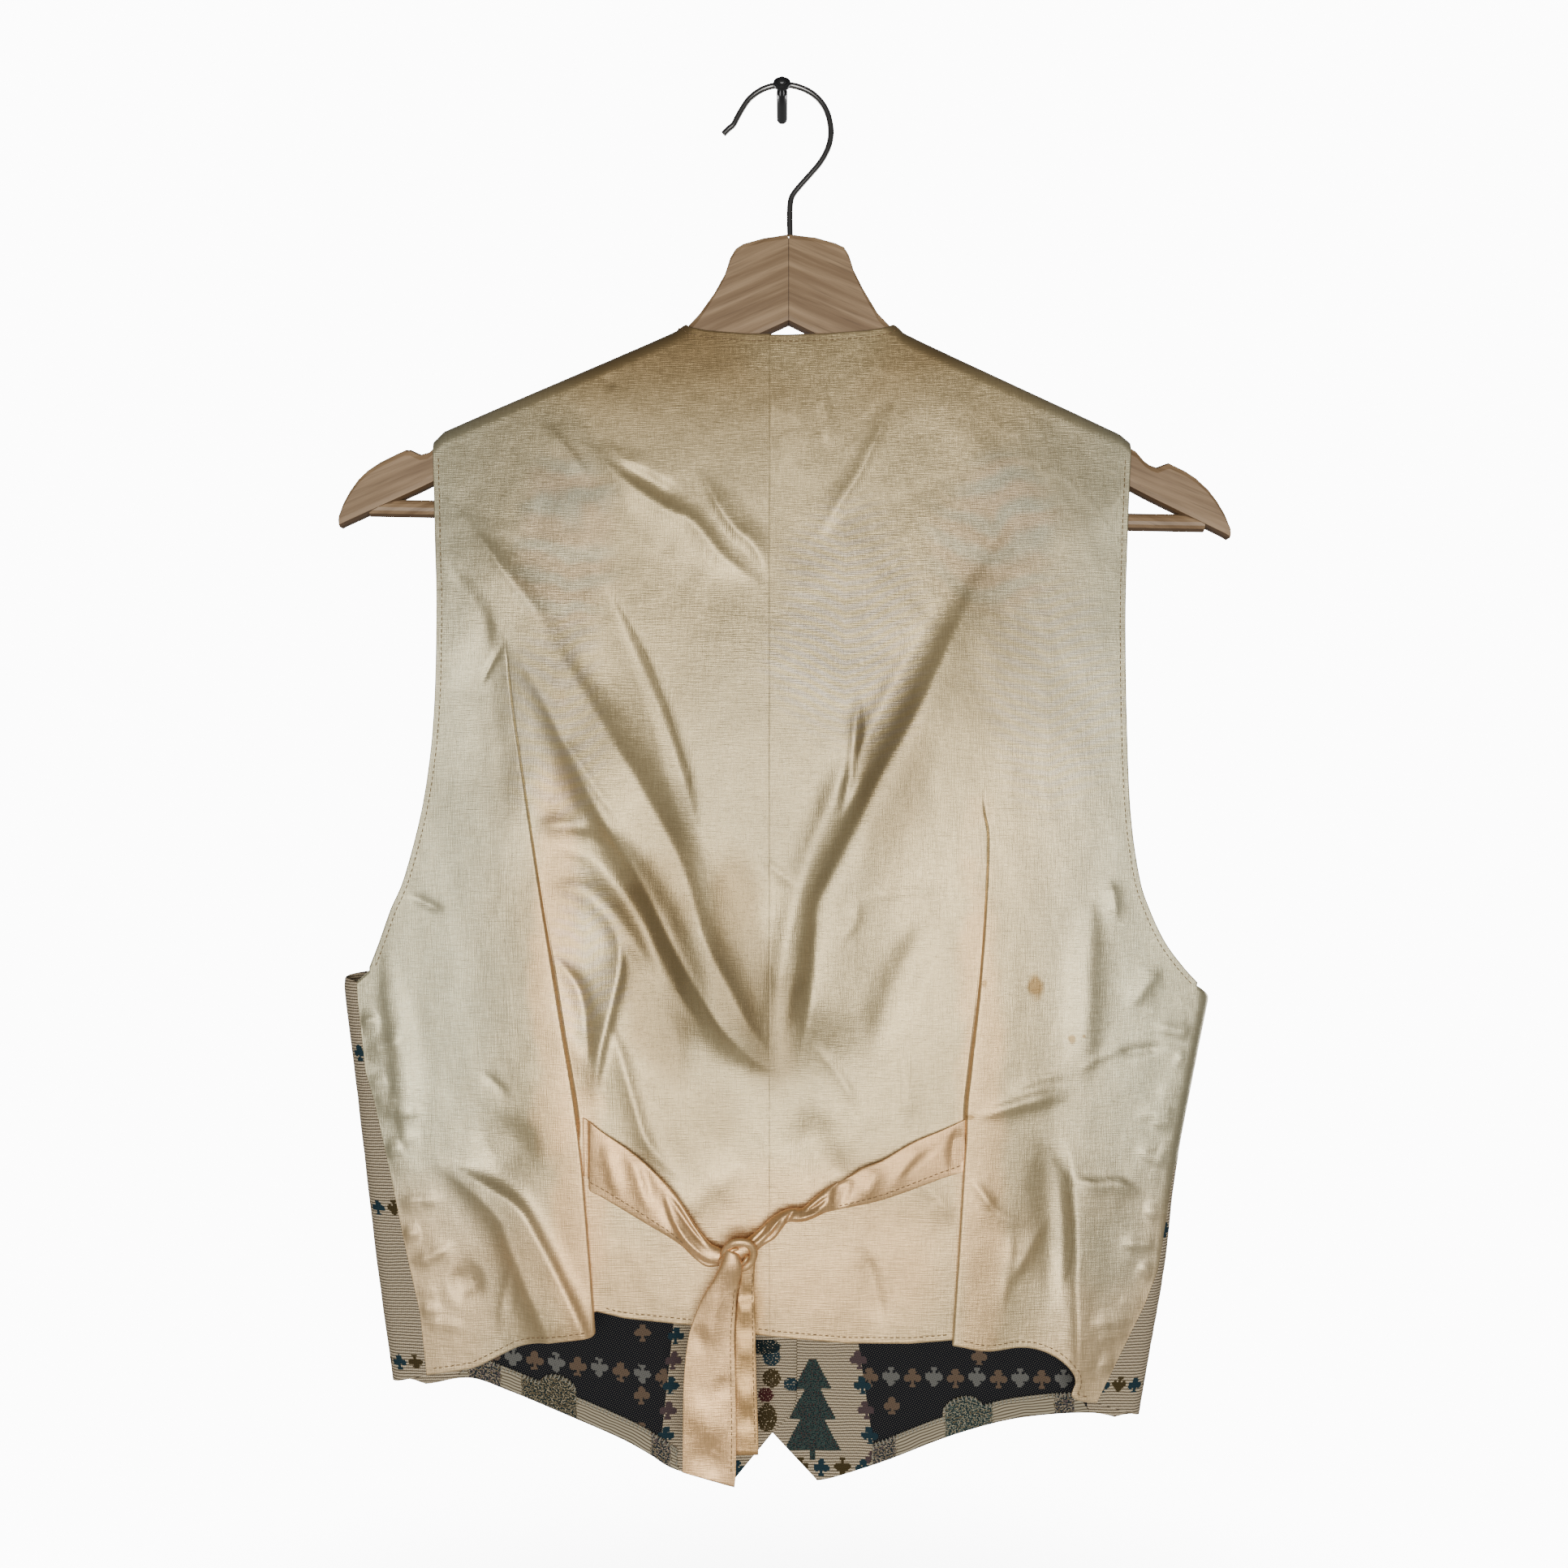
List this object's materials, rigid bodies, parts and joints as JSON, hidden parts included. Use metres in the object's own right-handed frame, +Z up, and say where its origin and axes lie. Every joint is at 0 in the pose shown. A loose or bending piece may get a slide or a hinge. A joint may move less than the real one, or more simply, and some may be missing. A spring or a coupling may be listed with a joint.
{
  "type": "waistcoat hung on a wooden hanger",
  "caption": "Waistcoat with a satin back tied across the waist and tapestry fronts, hung back outwards on a wooden hanger from a wall peg.",
  "frame": {"origin": "underside of the hook's wire at its highest point, where it bears on the wall peg", "axes": "+X towards the wearer's right, +Y the way the garment faces and towards the wall, +Z up; the back faces -Y"},
  "size_m": [0.4398, 0.0667, 0.7008],
  "materials": {
    "satin": "cream acetate satin, glossy, softly creased",
    "satin_tie": "peach satin, glossy",
    "tapestry": "ribbed cream and navy tapestry with small woven clubs, matt",
    "facing": "cream ribbed cotton, matt",
    "button": "dark brown, polished",
    "wood": "pale hardwood, thin satin lacquer",
    "steel": "polished wire",
    "peg_black": "black enamel"
  },
  "bodies": {
    "root": {"back_left": "satin", "back_right": "satin", "front_left": "tapestry", "front_right": "tapestry", "facing_left": "facing", "facing_right": "facing", "tie_band_left": "satin_tie", "tie_band_right": "satin_tie", "tie_knot": "satin_tie", "tie_tail_front": "satin_tie", "tie_tail_rear": "satin_tie", "button_1": "button", "button_2": "button", "button_3": "button", "button_4": "button", "button_5": "button", "hanger_arm_left": "wood", "hanger_arm_right": "wood", "hanger_bar": "wood", "hanger_hook": "steel", "wall_peg": "peg_black"}
  },
  "joints": []
}
